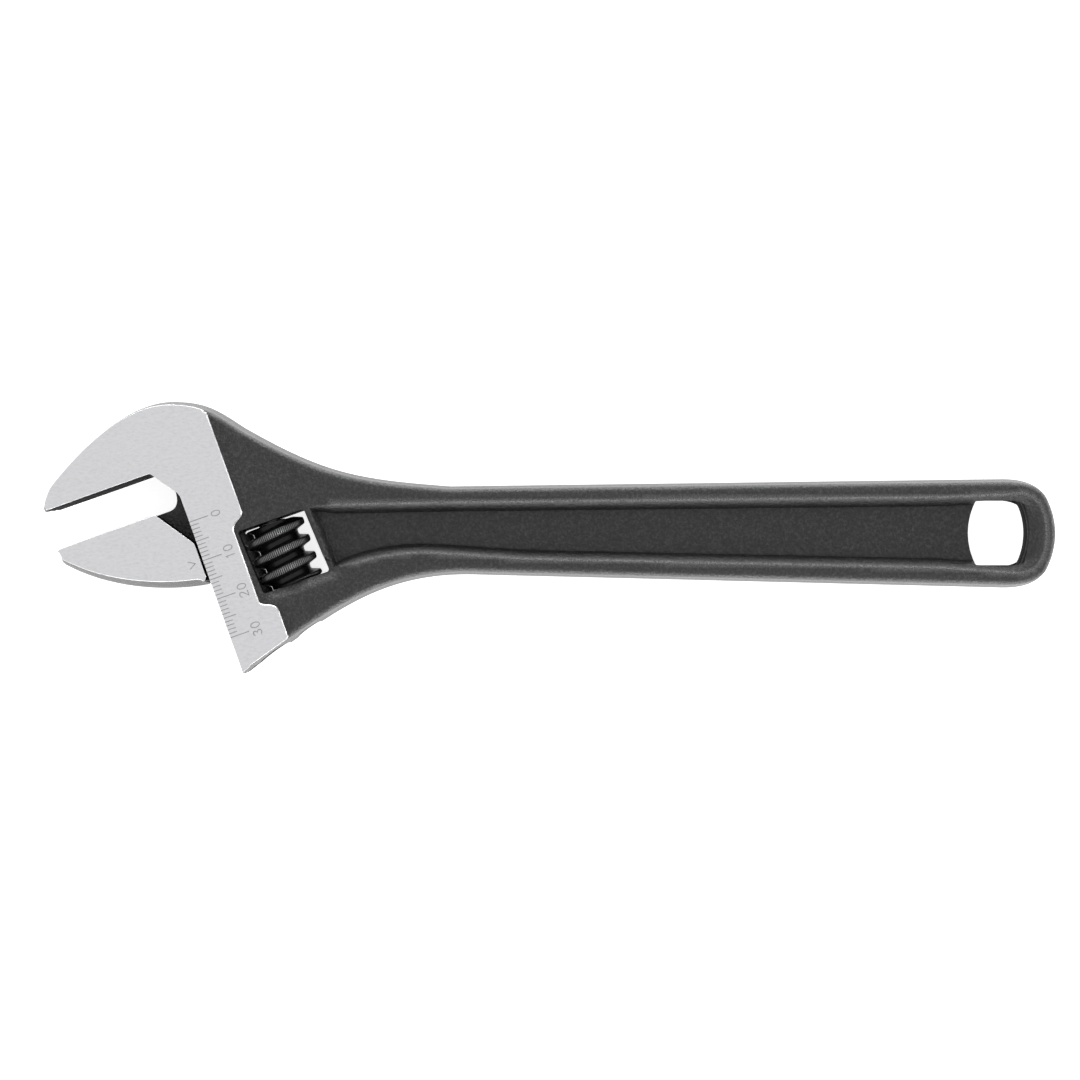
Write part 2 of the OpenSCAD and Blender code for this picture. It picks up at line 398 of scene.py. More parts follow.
def triangulate(boundary, rings, loose):
    """Triangles of the area inside a boundary that keep the closed rings as edges.

    Where a ring leaves the area, its line runs on to the nearest boundary point.
    Points nearer to the boundary than clear are left out, as they make thin triangles.
    """
    clear = 0.22
    verts = [Vector(p) for p in boundary]
    edges = []
    for ring in rings:
        depth = edge_distance(ring, boundary)
        inside = depth > clear
        if inside.all():
            first = len(verts)
            verts += [Vector(p) for p in ring]
            edges += [(first + i, first + (i + 1) % len(ring)) for i in range(len(ring))]
            continue
        for run in runs_of(inside):
            first = len(verts)
            verts += [Vector(ring[i]) for i in run]
            edges += [(first + i, first + i + 1) for i in range(len(run) - 1)]
            for end, step, index in ((run[0], -1, first), (run[-1], 1, first + len(run) - 1)):
                crossing = leave_point(ring, depth, end, step)
                nearest = np.linalg.norm(boundary - crossing, axis=1).argmin()
                edges.append((int(nearest), index))
    verts += [Vector(p) for p in loose[edge_distance(loose, boundary) > 2 * clear]]
    face = [list(range(len(boundary)))]
    got = geometry.delaunay_2d_cdt(verts, edges, face, 1, 1e-5)
    return np.array([tuple(v) for v in got[0]]), [list(f) for f in got[2]], got[3]


def slab(name, outline, draft, radius, top, rings, loose):
    """A forging that is the same on both sides of its middle plane.

    outline runs clockwise on the middle plane. draft is each edge's slope off the
    vertical, radius the rounding of each vertex's upper edge, and top(points) the
    height of the upper face. The walls are rows of quads and the faces triangles.
    """
    radius = np.asarray(radius, float)
    edge_radius = (radius + np.roll(radius, -1)) / 2
    slope = np.tan(np.radians(draft))
    guess = outline
    for _ in range(3):
        height = top(guess)
        edge_h = (height + np.roll(height, -1)) / 2
        guess = inset_loop(outline, slope * (edge_h - edge_radius) + edge_radius)
    rows = [wall_row(outline, slope * share * (edge_h - edge_radius), share * (height - radius))
            for share in (0.0, 0.5, 1.0)]
    for turn in np.radians([18, 36, 54, 72, 90]):
        depth = slope * (edge_h - edge_radius) + edge_radius * (1 - math.cos(turn))
        rows.append(wall_row(outline, depth, height - radius * (1 - math.sin(turn))))
    boundary = rows[-1]
    flat, tris, source = triangulate(boundary[:, :2], rings, loose)
    z = top(flat)
    n = len(outline)
    for k, origins in enumerate(source):
        near = [i for i in origins if i < n]
        if near:
            flat[k], z[k] = boundary[near[0], :2], boundary[near[0], 2]
    verts, faces = [], []
    for side in (1, -1):
        base = len(verts)
        for row in rows:
            verts += [(x, y, mid_z + side * h) for x, y, h in row]
        faces += ring_quads(len(rows), n, base)
        first = len(verts)
        verts += [(x, y, mid_z + side * h) for (x, y), h in zip(flat, z)]
        faces += [[first + i for i in tri] for tri in tris]
    return new_object(name, verts, faces)


def grid_points(outline, gap, spacing):
    """A staggered grid of points at least gap inside an outline."""
    low, high = outline.min(0), outline.max(0)
    rows = np.arange(low[1], high[1], spacing * 0.87)
    pts = np.array([(x + (k % 2) * spacing / 2, y) for k, y in enumerate(rows)
                    for x in np.arange(low[0], high[0], spacing)])
    return pts[edge_distance(pts, outline) > gap]


# ---------------------------------------------------------------- outlines

# The neck's lower corner is sharp, so points this near to it would turn its walls over
NECK_CORNER_CLEAR = 2.2


def trace(start, *stretches):
    """An outline, with the slope of each edge off the vertical.

    A stretch starts where the last one ended. It is (slope, step, end) where it is
    straight, and (slope, step, guide, guide, end) where it is a curve.
    """
    points, slopes = [], []
    for slope, step, *guides in stretches:
        part = (bezier if len(guides) == 3 else line)(start, *guides, step)
        points.append(part)
        slopes.append(np.full(len(part), float(slope)))
        start = guides[-1]
    return np.vstack(points), np.concatenate(slopes)


def evened(values):
    """Values along a closed outline, each pulled towards its neighbours."""
    return (np.roll(values, 1) + 2 * values + np.roll(values, -1)) / 4


def body_outline():
    """The forging's outline on its middle plane, clockwise from the jaw's tip, with
    each edge's slope off the vertical."""
    end_mid = rim(half_l - END_BELOW, 0)
    end_top = end_mid + (0, END_HALF_H)
    end_low = end_mid - (0, END_HALF_H)
    tip = -JAW_REACH
    notch_x = -RELIEF_X
    points, slope = trace(
        head(tip + 0.9, 0),
        (TIP_DRAFT, 0.3, head(tip + 0.3, 0), head(tip, 0.2), head(tip, 0.8)),
        (TIP_DRAFT, 0.5, head(tip + 0.2, 2.2), head(tip + 1.4, 3.8), head(tip + 2.9, 5.25)),
        (DRAFT, STEP, head(-11.2, 17.9), head(0.1, 17.9), head(7.1, 14.7)),
        (DRAFT, 0.3, head(13.6, 12), head(15.6, 8.9), head(19.9, 3.3)),
        (DRAFT, STEP, head(34.7, -13.8), (-47.9, 14.4), rim(-24.4, 1)),
        (DRAFT, 1.2, rim(half_l - 13, 1)),
        (DRAFT, STEP, rim(half_l - 6.5, 1), end_top + (-1.2, 2.4), end_top),
        (DRAFT, STEP, end_top + (3, -6), end_low + (3, 6), end_low),
        (DRAFT, STEP, end_low + (-1.2, -2.4), rim(half_l - 6.5, -1), rim(half_l - 13, -1)),
        (DRAFT, 1.2, rim(-17, -1)),
        (DRAFT, 0.35, (-42.5, -8.2), head(24.4, -47.5), head(0, NECK_END)),
        (MACHINED, STEP, head(0, RELIEF_END - 0.6)),
        (MACHINED, 0.3, head(0, RELIEF_END), head(-0.2, -6.9), head(-1.0, -5.8)),
        (MACHINED, STEP, head(notch_x + 0.25, -0.35)),
        (MACHINED, 0.2, head(notch_x, 0), head(notch_x - 0.2, 0), head(notch_x - 0.5, 0)),
        (MACHINED, STEP, head(tip + 0.9, 0)),
    )
    to_corner = np.linalg.norm(points - head(0, NECK_END), axis=1)
    keep = (to_corner < 1e-6) | (to_corner > NECK_CORNER_CLEAR)
    return points[keep], slope[keep]


def ground_outline():
    """The area ground bright, wider than the forging where its edge cuts it off."""
    return np.vstack([
        polyline(head(-45, 25), head(12.55, 25), head(12.75, -16.0)),
        bezier(head(12.75, -16.0), head(12.75, -17.6), head(9.9, -17.6), head(9.3, -19.9), 0.3),
        line(head(9.3, -19.9), head(9.3, -38.2)),
        bezier(head(9.3, -38.2), head(9.3, -40.4), head(13.2, -39.4), head(13.2, -42.4), 0.3),
        polyline(head(13.2, -42.4), head(13.2, -60), head(-45, -60), head(-45, 25)),
    ])


def recess_outline():
    """The recess in each side, halfway up its slope, clockwise."""
    end = half_l - 4.9
    return np.vstack([
        polyline(head(29.6, -36.3), head(29.0, -21.2), rim(-25, 1, 5.0),
                 rim(half_l - 29, 1, 5.3), rim(half_l - 14, 1, 4.9)),
        bezier(rim(half_l - 14, 1, 4.9), rim(half_l - 8, 1, 4.9), (end, 8.2), (end, 1)),
        bezier((end, 1), (end, -6.2), rim(half_l - 8, -1, 4.9), rim(half_l - 14, -1, 4.9)),
        polyline(rim(half_l - 14, -1, 4.9), rim(half_l - 29, -1, 5.6), rim(-2, -1, 5.2)),
        bezier(rim(-2, -1, 5.2), rim(-12, -1, 5.3), rim(-20, -1, 5.9), rim(-28, -1, 6.1)),
        bezier(rim(-28, -1, 6.1), rim(-38, -1, 6.4), head(38, -36.4), head(29.6, -36.3)),
    ])


def tip_loss(points):
    """How much each face of a jaw falls away towards the tip."""
    x = to_head(points)[:, 0]
    u = np.clip((TIP_LOSS_FROM - x) / (TIP_LOSS_FROM + JAW_REACH), 0, 1.15)
    return (half_t - TIP_HALF_T) * u * u * (1.6 - 0.6 * u)


outline_of_body, body_slope = body_outline()
outline_of_ground = ground_outline()
outline_of_recess = recess_outline()

FORGING_R = 1.25
GROUND_EDGE_R = 0.16
MACHINED_EDGE_R = 0.14
GROUND_STEP = 0.25
HEAD_STEP_DOWN = 0.3
SWELL_REACH = 24
RECESS_SLOPE = 1.3
RECESS_NECK_SLOPE = 0.7
RECESS_END_SLOPE = 2.2
WINDOW_EDGE_DROP = 1.05


def recess_width(points):
    """Half the width of the recess's slope: narrow at the window, wide round the end."""
    end = smooth((points[:, 0] - (half_l - 14)) / 8)
    neck = smooth((34.5 - to_head(points)[:, 0]) / 4)
    return (RECESS_SLOPE + (RECESS_END_SLOPE - RECESS_SLOPE) * end
            + (RECESS_NECK_SLOPE - RECESS_SLOPE) * neck)


def body_top(points):
    """Height of the body's upper face above the middle plane.

    The ground faces are flat. The rough forging swells towards them, drops along the
    window's lower lip, and falls to the recess's floor.
    """
    points = np.asarray(points)
    ground = half_t - tip_loss(points)
    inside = edge_distance(points, outline_of_ground)
    away = np.maximum(-inside, 0)
    forged = RIM_T + (half_t - HEAD_STEP_DOWN - RIM_T) * smooth(1 - away / SWELL_REACH)
    forged += 0.035 * value_noise(points, 3.1, 3) + 0.02 * value_noise(points, 1.7, 5)
    deep = edge_distance(points, outline_of_recess)
    width = recess_width(points)
    share = np.clip((deep + width) / (2 * width), 0, 1) ** 1.9
    floor = FLOOR_T + 0.03 * value_noise(points, 4.3, 8)
    x, y = to_head(points).T
    beside = smooth((x - 10.5) / 2.5) * smooth((31.5 - x) / 3)
    below = smooth(1 - (WINDOW_Y[0] - y) / 2.4) * (y < WINDOW_Y[0] + 3)
    forged -= WINDOW_EDGE_DROP * beside * below
    forged = forged * (1 - share) + floor * share
    step = np.clip(away / GROUND_STEP, 0, 1)
    return np.where(inside >= 0, ground, ground * (1 - step) + forged * step)


# ---------------------------------------------------------------- marks

DIGITS = {
    "1": [[(-0.32, 0.62), (0.1, 1.0), (0.1, -1.0)]],
    "2": [[(-0.55, 0.5), (-0.42, 0.85), (0.0, 1.0), (0.42, 0.85), (0.56, 0.48),
           (0.36, 0.05), (-0.58, -0.95), (0.6, -0.95)]],
    "3": [[(-0.52, 0.72), (-0.1, 1.0), (0.4, 0.85), (0.5, 0.45), (0.12, 0.08),
           (0.56, -0.25), (0.5, -0.75), (0.02, -1.0), (-0.56, -0.7)]],
}
DIGIT_HALF_H = 1.1
DIGIT_STEP = 2.0
ZERO_HALF_W = 0.58
MARK_W = 0.2
MARK_DEPTH = 0.13
SCALE_ZERO = -14.45
SCALE_MAX = 30
SCALE_LABEL_X = 6.8
SCALE_LINE_L = (2.1, 3.3, 4.9)
POINTER_X = (-3.6, -2.0)
POINTER_HALF_H = 0.95


def ribbon(points, width, closed=False):
    """The outline of a stroke of even width along a polyline, as one or two loops."""
    p = np.asarray(points, float)
    ahead = np.roll(p, -1, axis=0) - p
    behind = p - np.roll(p, 1, axis=0)
    if not closed:
        ahead[-1], behind[0] = behind[-1], ahead[0]
    ahead /= np.linalg.norm(ahead, axis=1)[:, None]
    behind /= np.linalg.norm(behind, axis=1)[:, None]
    side = ahead + behind
    side /= np.linalg.norm(side, axis=1)[:, None]
    normal = np.stack([-side[:, 1], side[:, 0]], axis=1)
    cosine = np.maximum((side * ahead).sum(1), 0.55)
    shift = normal * (width / 2 / cosine)[:, None]
    return p + shift, p - shift


def mark_solids(strokes, low, high):
    """Vertices and faces of thin upright bodies, one for each stroke on the head."""
    verts, faces = [], []
    for points, closed in strokes:
        left, right = ribbon(points, MARK_W, closed)
        n = len(points)
        base = len(verts)
        for z in (low, high):
            for loop in (left, right):
                for x, y in loop:
                    p = head(x, y)
                    verts.append((p[0], p[1], mid_z + z))
        l0, r0, l1, r1 = base, base + n, base + 2 * n, base + 3 * n
        for i in range(n if closed else n - 1):
            j = (i + 1) % n
            faces += [[l0 + i, l0 + j, r0 + j, r0 + i], [l1 + i, l1 + j, r1 + j, r1 + i],
                      [l0 + i, l0 + j, l1 + j, l1 + i], [r0 + i, r0 + j, r1 + j, r1 + i]]
        if not closed:
            faces += [[l0, r0, r1, l1], [l0 + n - 1, r0 + n - 1, r1 + n - 1, l1 + n - 1]]
    return verts, faces


def label_strokes(text, x, y):
    """Strokes of a number that reads along the head's y, its top to the neck's edge."""
    strokes = []
    for k, digit in enumerate(text):
        centre = y + (k - (len(text) - 1) / 2) * DIGIT_STEP
        if digit == "0":
            turns = np.radians(np.arange(0, 360, 20))
            shape = [([(ZERO_HALF_W * math.cos(a), math.sin(a)) for a in turns], True)]
        else:
            shape = [(stroke, False) for stroke in DIGITS[digit]]
        for points, closed in shape:
            strokes.append(([(x - v * DIGIT_HALF_H, centre + u * DIGIT_HALF_H)
                             for u, v in points], closed))
    return strokes


def scale_strokes():
    """One line per millimetre of opening, longer at every fifth, numbered at every tenth."""
    strokes = []
    for i in range(SCALE_MAX + 1):
        length = SCALE_LINE_L[(i % 5 == 0) + (i % 10 == 0)]
        y = SCALE_ZERO - i
        strokes.append(([(0.05, y), (length, y)], False))
        if i % 10 == 0:
            strokes += label_strokes(str(i), SCALE_LABEL_X, y)
    return strokes


def pointer_strokes():
    """The arrowhead on the hook that reads the scale."""
    y = SCALE_ZERO - opening
    back_x, point_x = POINTER_X
    return [([(back_x, y - POINTER_HALF_H), (point_x, y), (back_x, y + POINTER_HALF_H)], False)]


# ---------------------------------------------------------------- pieces


def cut_marks(obj, strokes):
    """Engraves strokes in the upper ground face."""
    verts, faces = mark_solids(strokes, half_t - MARK_DEPTH, half_t + 1.0)
    return boolean(obj, new_object("marks", verts, faces))


def rounded(corners, radius, steps=5):
    """An outline of straight edges with rounded corners."""
    corners = np.asarray(corners, float)
    out = []
    for k, p in enumerate(corners):
        a = corners[k - 1] - p
        b = corners[(k + 1) % len(corners)] - p
        a = a / np.linalg.norm(a) * radius
        b = b / np.linalg.norm(b) * radius
        out += list(bezier(p + a, p + a * 0.45, p + b * 0.45, p + b, radius / steps))
        out.append(p + b)
    return np.array(out)


def through_cut(name, outline, flare, face_h, to_wrench=head):
    """A closed cutter for a through hole that widens at both faces."""
    loop = np.asarray(outline)
    area = np.sum(loop[:, 0] * np.roll(loop[:, 1], -1) - loop[:, 1] * np.roll(loop[:, 0], -1))
    loop = loop[::-1] if area > 0 else loop
    levels = [(face_h + 2.0, -flare - 0.02), (face_h, -flare),
              (face_h - 0.3 * flare, -0.55 * flare), (face_h - 0.62 * flare, -0.22 * flare),
              (face_h - flare * 1.1, 0.0)]
    levels += [(-z, depth) for z, depth in reversed(levels)]
    verts = [(*to_wrench(x, y), mid_z + z)
             for z, depth in levels for x, y in inset_loop(loop, depth)]
    return tube(name, verts, len(loop))


def hole_outline():
    """The barrel-shaped hanging hole about its middle: two arcs, and rounded corners."""
    top = HOLE_H / 2
    reach = HOLE_SIDE_R - HOLE_W / 2
    half = math.asin((top - 0.7) / HOLE_SIDE_R)
    turns = np.linspace(-half, half, 15)
    side = [(HOLE_SIDE_R * math.cos(a) - reach, HOLE_SIDE_R * math.sin(a)) for a in turns]
    edge, inner = side[-1][0], side[-1][0] - 0.9
    corner = bezier(side[-1], (edge - 0.25, top - 0.1), (inner + 0.4, top), (inner, top), 0.25)
    corner = [tuple(p) for p in corner[1:]] + [(inner, top)]
    return (side + corner
            + [(-x, y) for x, y in reversed(corner)] + [(-x, y) for x, y in reversed(side)]
            + [(-x, -y) for x, y in corner] + [(x, -y) for x, y in reversed(corner)])


def slot_outline(gap, top, low):
    """The web's outline between hook and rail, or with a gap the slot that it runs in."""
    curve = bezier((WEB_EDGE - gap, 3.8 + gap), (-1.5 - gap, 1.6 + gap), (-2.4, gap),
                   (-4.4, gap), 0.4)
    return [(RAIL_X, top), (WEB_EDGE - gap, top)] + [tuple(p) for p in curve] + [
        (-4.4, gap), (-8, gap), (-12, -4), (-12, low), (RAIL_X, low)]


def blended_slope(slope):
    """Slopes along an outline, evened where they change. Machined edges stay upright."""
    for _ in range(2):
        slope = evened(slope) * (slope > MACHINED)
    return slope


def forging_radius():
    """The rounding of the body's edge: large on the forging, small on what is cut."""
    ground = edge_distance(outline_of_body, outline_of_ground) > 0
    machined = (body_slope == MACHINED) | (np.roll(body_slope, 1) == MACHINED)
    radius = np.where(machined, MACHINED_EDGE_R, np.where(ground, GROUND_EDGE_R, FORGING_R))
    for _ in range(6):
        radius = np.where(machined | ground, radius, evened(radius))
    return radius


def clear_of_steps(points):
    """Whether points are away from the recess's slope and the ground area's edge."""
    from_recess = np.abs(edge_distance(points, outline_of_recess)) - recess_width(points)
    from_ground = np.abs(edge_distance(points, outline_of_ground)) - GROUND_STEP
    return (from_recess > 0.25) & (from_ground > 0.2)


def build_body():
    """The forging: slab with draft and recesses, then every machined cut."""
    rings = [inset_loop(outline_of_ground, -shift) for shift in (0.0, GROUND_STEP)]
    width = recess_width(outline_of_recess)
    rings += [inset_loop(outline_of_recess, level * width)
              for level in (-1.0, -0.8, -0.6, -0.4, -0.15, 0.15, 0.5, 1.0)]
    loose = grid_points(outline_of_body, 0.0, 1.25)
    body = slab("body_forging", outline_of_body, blended_slope(body_slope), forging_radius(),
                body_top, rings, loose[clear_of_steps(loose)])
    window = rounded([(WINDOW_X[0], WINDOW_Y[1]), (WINDOW_X[1], WINDOW_Y[1]),
                      (WINDOW_X[1] + WINDOW_SKEW, WINDOW_Y[0]),
                      (WINDOW_X[0] + WINDOW_SKEW, WINDOW_Y[0])], WINDOW_CORNER_R)
    boolean(body, through_cut("window", window, WINDOW_FLARE, half_t))
    boolean(body, through_cut("hanging_hole", hole_outline(), HOLE_FLARE, FLOOR_T,
                              lambda x, y: hole_pos + (x, y)))
    boolean(body, lathe("bore", [(0, PAST_NECK), (RAIL_BORE_R, PAST_NECK),
                                 (RAIL_BORE_R, BLIND_END), (0, BLIND_END)], RAIL_X))
    boolean(body, prism("slot", slot_outline(SLOT_GAP, BLIND_END, PAST_NECK),
                        -SLOT_HALF_T, SLOT_HALF_T))
    wide, narrow = PIN_HEAD_R + 2 * PIN_GAP, PIN_R + PIN_GAP
    shoulder, blind = PIN_LOW + PIN_HEAD_L + PIN_GAP, PIN_HIGH + 0.5
    boolean(body, lathe("pin_bore", [(0, PIN_LOW - 9), (wide, PIN_LOW - 9), (wide, shoulder),
                                     (narrow, shoulder), (narrow, blind), (0, blind)], worm_x))
    cut_marks(body, scale_strokes())
    return body


def hook_outline():
    """The sliding jaw's hook on the middle plane, clockwise from its tip, with each
    edge's slope off the vertical. y is measured from the gripping face."""
    side, tip = HOOK_SIDE, -JAW_REACH
    return trace(
        (tip, -2.2),
        (TIP_DRAFT, STEP, (tip + 0.1, -0.5)),
        (6, 0.15, (tip + 0.1, -0.1), (tip + 0.3, 0), (tip + 0.7, 0)),
        (MACHINED, STEP, (-7.7, 0)),
        (MACHINED, 0.15, (-7.4, 0), (-7.3, -0.1), (-7.0, -0.5)),
        (MACHINED, STEP, (side - 0.5, -9.0)),
        (MACHINED, 0.2, (side - 0.1, -9.6), (side, -9.9), (side, -10.5)),
        (MACHINED, STEP, (side, -19.2)),
        (7, 0.2, (side, -20.0), (-1.2, -20.2), (-2.2, -20.0)),
        (HOOK_DRAFT, STEP, (-11.3, -18.5), (tip + 9.9, -13.5), (tip + 1.3, -4.5)),
        (TIP_DRAFT, 0.4, (tip + 0.5, -3.7), (tip, -3.2), (tip, -2.2)),
    )


def on_jaw(x, y):
    """A point of the sliding jaw, whose y is measured from its gripping face."""
    return head(x, y - opening)


def jaw_top(points):
    """Height of the sliding jaw's upper face above the middle plane."""
    return half_t - tip_loss(points)


def build_jaw():
    """Hook, web and round rail with its rack, as one forging."""
    local, slope = hook_outline()
    outline = np.array([on_jaw(x, y) for x, y in local])
    jaw = slab("sliding_jaw_hook", outline, blended_slope(slope),
               np.full(len(outline), GROUND_EDGE_R), jaw_top, [], grid_points(outline, 0.8, 1.6))
    web = prism("web", slot_outline(0, RAIL_TOP, WEB_LOW), -WEB_HALF_T, WEB_HALF_T, on_jaw)
    end_r = RAIL_R - RAIL_CHAMFER
    rail = lathe("rail", [(0, RAIL_BOTTOM), (end_r, RAIL_BOTTOM),
                          (RAIL_R, RAIL_BOTTOM + RAIL_CHAMFER), (RAIL_R, RAIL_TOP - RAIL_CHAMFER),
                          (end_r, RAIL_TOP), (0, RAIL_TOP)], RAIL_X, -opening)
    for k in range(-5, 7):
        boolean(rail, rack_groove(k))
    boolean(jaw, web, "UNION")
    boolean(jaw, rail, "UNION")
    cut_marks(jaw, pointer_strokes())
    return jaw


GROOVE_HALF_W = 0.91
FLANK = math.tan(math.radians(20))


def rack_groove(k):
    """One space between two teeth, tilted to the worm's lead."""
    lead = math.atan(pitch / (math.pi * (WORM_R + WORM_CORE_R)))
    bottom, outer = RAIL_X + RAIL_R - RACK_DEPTH, RAIL_X + RAIL_R + 1.0
    crest_x = worm_x - WORM_R
    half_in, half_out = GROOVE_HALF_W, GROOVE_HALF_W + 0.04 + (outer - crest_x) * FLANK
    middle = CREST_PHASE_Y - pitch / 4 + k * pitch
    shape = [(bottom, -half_in + 0.15), (bottom + 0.15, -half_in), (crest_x, -half_in - 0.03),
             (outer, -half_out), (outer, half_out), (crest_x, half_in + 0.03),
             (bottom + 0.15, half_in), (bottom, half_in - 0.15)]
    verts = [(*head(x, middle + y + z * math.tan(lead)), mid_z + z)
             for z in (-8.0, 8.0) for x, y in shape]
    return tube("groove", verts, len(shape))


KNURLS = 90
WORM_STEPS = 6 * KNURLS
KNURL_DEPTH = 0.16
CREST_HALF_W = 0.72


def worm_profile():
    """One pitch of the thread as (distance along the axis, radius, how much knurl)."""
    half = pitch / 2
    crest = CREST_HALF_W
    side = [(half - 0.35, WORM_CORE_R, 0), (crest + 1.0, WORM_CORE_R + 0.04, 0),
            (crest + 0.78, WORM_CORE_R + 0.24, 0), (crest + 0.6, WORM_CORE_R + 0.66, 0),
            (crest + 0.34, WORM_R - 0.9, 0), (crest + 0.12, WORM_R - 0.26, 0.4),
            (crest - 0.06, WORM_R - 0.08, 1), (crest - 0.3, WORM_R - 0.02, 1), (0.2, WORM_R, 1)]
    return ([(-half, WORM_CORE_R, 0)] + [(-along, radius, rough) for along, radius, rough in side]
            + side[::-1])


def build_worm():
    """The knurled worm: a helical band one pitch wide, trimmed to length and bored."""
    profile = worm_profile()
    rows = len(profile)
    below = CREST_PHASE_Y - WORM_LOW
    high_y = WORM_LOW + WORM_L
    first = -math.ceil((below / pitch + 1.5) * WORM_STEPS)
    last = math.ceil(((WORM_L - below) / pitch + 0.5) * WORM_STEPS)
    count = last - first
    i = np.arange(count + WORM_STEPS)
    turn = 2 * math.pi * (i + first) / WORM_STEPS
    knurl = 0.5 - 0.5 * np.cos(turn * KNURLS)
    verts = []
    for k in range(len(i)):
        for j, (along, radius, rough) in enumerate(profile):
            if k >= count and j > 0:
                continue
            r = radius - rough * KNURL_DEPTH * knurl[k]
            x = worm_x + r * math.sin(turn[k])
            y = CREST_PHASE_Y + along + pitch * turn[k] / (2 * math.pi)
            p = head(x, y)
            verts.append((p[0], p[1], mid_z + r * math.cos(turn[k])))

    def at(k, j):
        """The index of a vertex. A band's last row is the first row one turn later."""
        if j == rows:
            k, j = k + WORM_STEPS, 0
        return k * rows + j if k < count else count * rows + (k - count)

    faces = [[at(k, j), at(k + 1, j), at(k + 1, j + 1), at(k, j + 1)]
             for k in range(count - 1) for j in range(rows)]
    low = [at(k, 0) for k in range(WORM_STEPS)] + [at(0, j) for j in range(rows, 0, -1)]
    high = ([at(k, 0) for k in range(count - 1, count - 1 + WORM_STEPS)]
            + [at(count - 1, j) for j in range(rows, 0, -1)])
    for loop in (low, high):
        middle = to_head([verts[v][:2] for v in loop])[:, 1].mean()
        centre = len(verts)
        verts.append((*head(worm_x, middle), mid_z))
        faces += [[v, loop[(k + 1) % len(loop)], centre] for k, v in enumerate(loop)]
    worm = new_object("worm_knurl", verts, faces)
    outer = WORM_R + 0.4
    trim = lathe("trim", [(0, WORM_LOW), (WORM_R - 0.55, WORM_LOW), (outer, WORM_LOW + 0.7),
                          (outer, high_y - 0.9), (WORM_R - 0.9, high_y), (0, high_y)], worm_x)
    boolean(worm, trim, "INTERSECT")
    seat, bore_r, mouth_r = high_y - SEAT_DEPTH, PIN_R + 0.05, SEAT_R + 0.3
    boolean(worm, lathe("bore", [(0, WORM_LOW - 1), (bore_r + 0.3, WORM_LOW - 1),
                                 (bore_r, WORM_LOW + 0.4), (bore_r, seat), (SEAT_R, seat),
                                 (SEAT_R, high_y - 0.3), (mouth_r, high_y),
                                 (mouth_r, high_y + 1), (0, high_y + 1)], worm_x))
    return worm


def build_pin():
    """The slotted pin that carries the worm."""
    shoulder = PIN_LOW + PIN_HEAD_L
    pin = lathe("pin_turned", [(0, PIN_LOW), (PIN_HEAD_R - 0.4, PIN_LOW),
                               (PIN_HEAD_R, PIN_LOW + 0.4), (PIN_HEAD_R, shoulder),
                               (PIN_R, shoulder), (PIN_R, PIN_HIGH - 0.5),
                               (PIN_R - 0.5, PIN_HIGH), (0, PIN_HIGH)], worm_x)
    left, right = worm_x - PIN_SLOT_HALF_W, worm_x + PIN_SLOT_HALF_W
    low, high = PIN_LOW - 1, PIN_LOW + PIN_SLOT_DEPTH
    slot = [(left, low), (right, low), (right, high), (left, high)]
    return boolean(pin, prism("slot", slot, -6, 6))


def build_spring():
    """The coil of round wire in the worm's counterbore."""
    wire_r, coil_r, turns = 0.29, 3.2, 3.5
    steps, sides = 48, 12
    low = WORM_LOW + WORM_L - SEAT_DEPTH + wire_r + 0.1
    high = WINDOW_Y[1] - wire_r - 0.05
    rings = int(turns * steps)
    verts = []
    for i in range(rings + 1):
        a = 2 * math.pi * i / steps
        for j in range(sides):
            b = 2 * math.pi * j / sides
            d = coil_r + wire_r * math.cos(b)
            along = low + (high - low) * i / rings + wire_r * math.sin(b)
            p = head(worm_x + d * math.cos(a), along)
            verts.append((p[0], p[1], mid_z + d * math.sin(a)))
    return tube("spring_wire", verts, sides)


# ---------------------------------------------------------------- materials


def new_material(name):
    """A new material, its node tree and its shader."""
    mat = bpy.data.materials.new(name)
    mat.use_nodes = True
    tree = mat.node_tree
    return mat, tree, tree.nodes["Principled BSDF"]


def put(tree, value, socket):
    """Feeds a socket with another node's output, or sets it to a constant."""
    if isinstance(value, bpy.types.NodeSocket):
        tree.links.new(value, socket)
    else:
        socket.default_value = value


def feed(tree, made, **inputs):
    """Puts values into a node's sockets, by their names with _ for a space."""
    for key, value in inputs.items():
        put(tree, value, made.inputs[key.replace("_", " ")])
    return made


def node(tree, kind, **inputs):
    """A new node with its sockets fed."""
    return feed(tree, tree.nodes.new(kind), **inputs)


def position(tree, scale=(1.0, 1.0, 1.0), turn=0.0):
    """Object coordinates, stretched and turned about Z."""
    coord = tree.nodes.new("ShaderNodeTexCoord")
    return node(tree, "ShaderNodeMapping", Vector=coord.outputs["Object"], Scale=scale,
                Rotation=(0, 0, turn)).outputs["Vector"]


def noise(tree, vector, scale, detail=3.0, rough=0.5):
    """A noise texture's value."""
    return node(tree, "ShaderNodeTexNoise", Vector=vector, Scale=scale, Detail=detail,
                Roughness=rough).outputs["Fac"]


def grey(level):
    """A neutral colour, very slightly cool."""
    return (level, level, level * 1.02, 1)


def ramp(tree, value, stops):
    """Greys over a value from 0 to 1. stops are (place, grey level)."""
    made = node(tree, "ShaderNodeValToRGB", Fac=value)
    elements = made.color_ramp.elements
    for index in (0, -1):
        elements[index].position = stops[index][0]
        elements[index].color = grey(stops[index][1])
    for place, level in stops[1:-1]:
        elements.new(place).color = grey(level)
    return made.outputs["Color"]


def scaled(tree, value, low, high, from_low=0.3, from_high=0.7):
    """A value moved to another range."""
    return node(tree, "ShaderNodeMapRange", Value=value, From_Min=from_low, From_Max=from_high,
                To_Min=low, To_Max=high).outputs["Result"]


def wear(tree):
    """How worn the surface is, and on the forging also where a highlight is painted, as set_wear
    wrote it.
    """
    made = tree.nodes.new("ShaderNodeAttribute")
    made.attribute_name = "wear"
    return made.outputs["Fac"]


